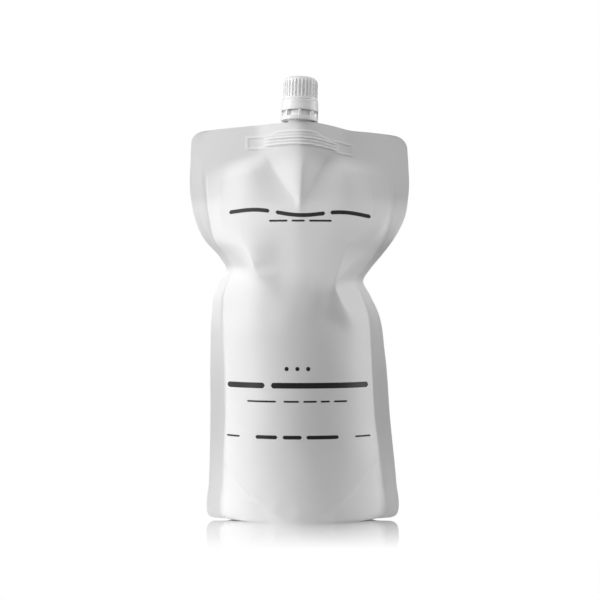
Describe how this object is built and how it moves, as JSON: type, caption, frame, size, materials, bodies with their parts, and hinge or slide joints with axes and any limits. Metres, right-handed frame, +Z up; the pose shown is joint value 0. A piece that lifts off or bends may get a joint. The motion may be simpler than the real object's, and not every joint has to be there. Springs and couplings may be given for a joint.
{
  "type": "hand soap refill pack",
  "caption": "Stand-up film pouch of liquid soap with a bulging belly, pinched waist and wide flat head, closed by a moulded spout with a ribbed screw cap and tamper band.",
  "frame": {"origin": "centre of the base, on the surface that the pack stands on", "axes": "+Z up, front of the pouch towards -Y, +X to the right as seen from the front"},
  "size_m": [0.1308, 0.0598, 0.2611],
  "materials": {
    "pouch_film": "matte white laminated film",
    "spout_plastic": "satin white moulded polyethylene",
    "cap_plastic": "satin white moulded polyethylene",
    "wad_foam": "off-white foam disc"
  },
  "bodies": {
    "pack": {"pouch": "pouch_film", "spout": "spout_plastic", "tamper_band": "cap_plastic"},
    "cap_lift": {"sealing_wad": "wad_foam"},
    "cap": {"screw_cap": "cap_plastic"}
  },
  "joints": [
    {"name": "cap_rise", "type": "slide", "parent": "pack", "child": "cap_lift", "axis": [0.0348, 0.0872, 0.9956], "range_m": [0, 0.0046]},
    {"name": "cap_turn", "type": "hinge", "parent": "cap_lift", "child": "cap", "pos_m": [-0.0001, 0.0074, 0.2336], "axis": [0.0348, 0.0872, 0.9956], "range_deg": [0, 540]}
  ],
  "couplings": [
    {"joint": "cap_rise", "follows": "cap_turn", "m_per_rad": 0.00047746}
  ]
}
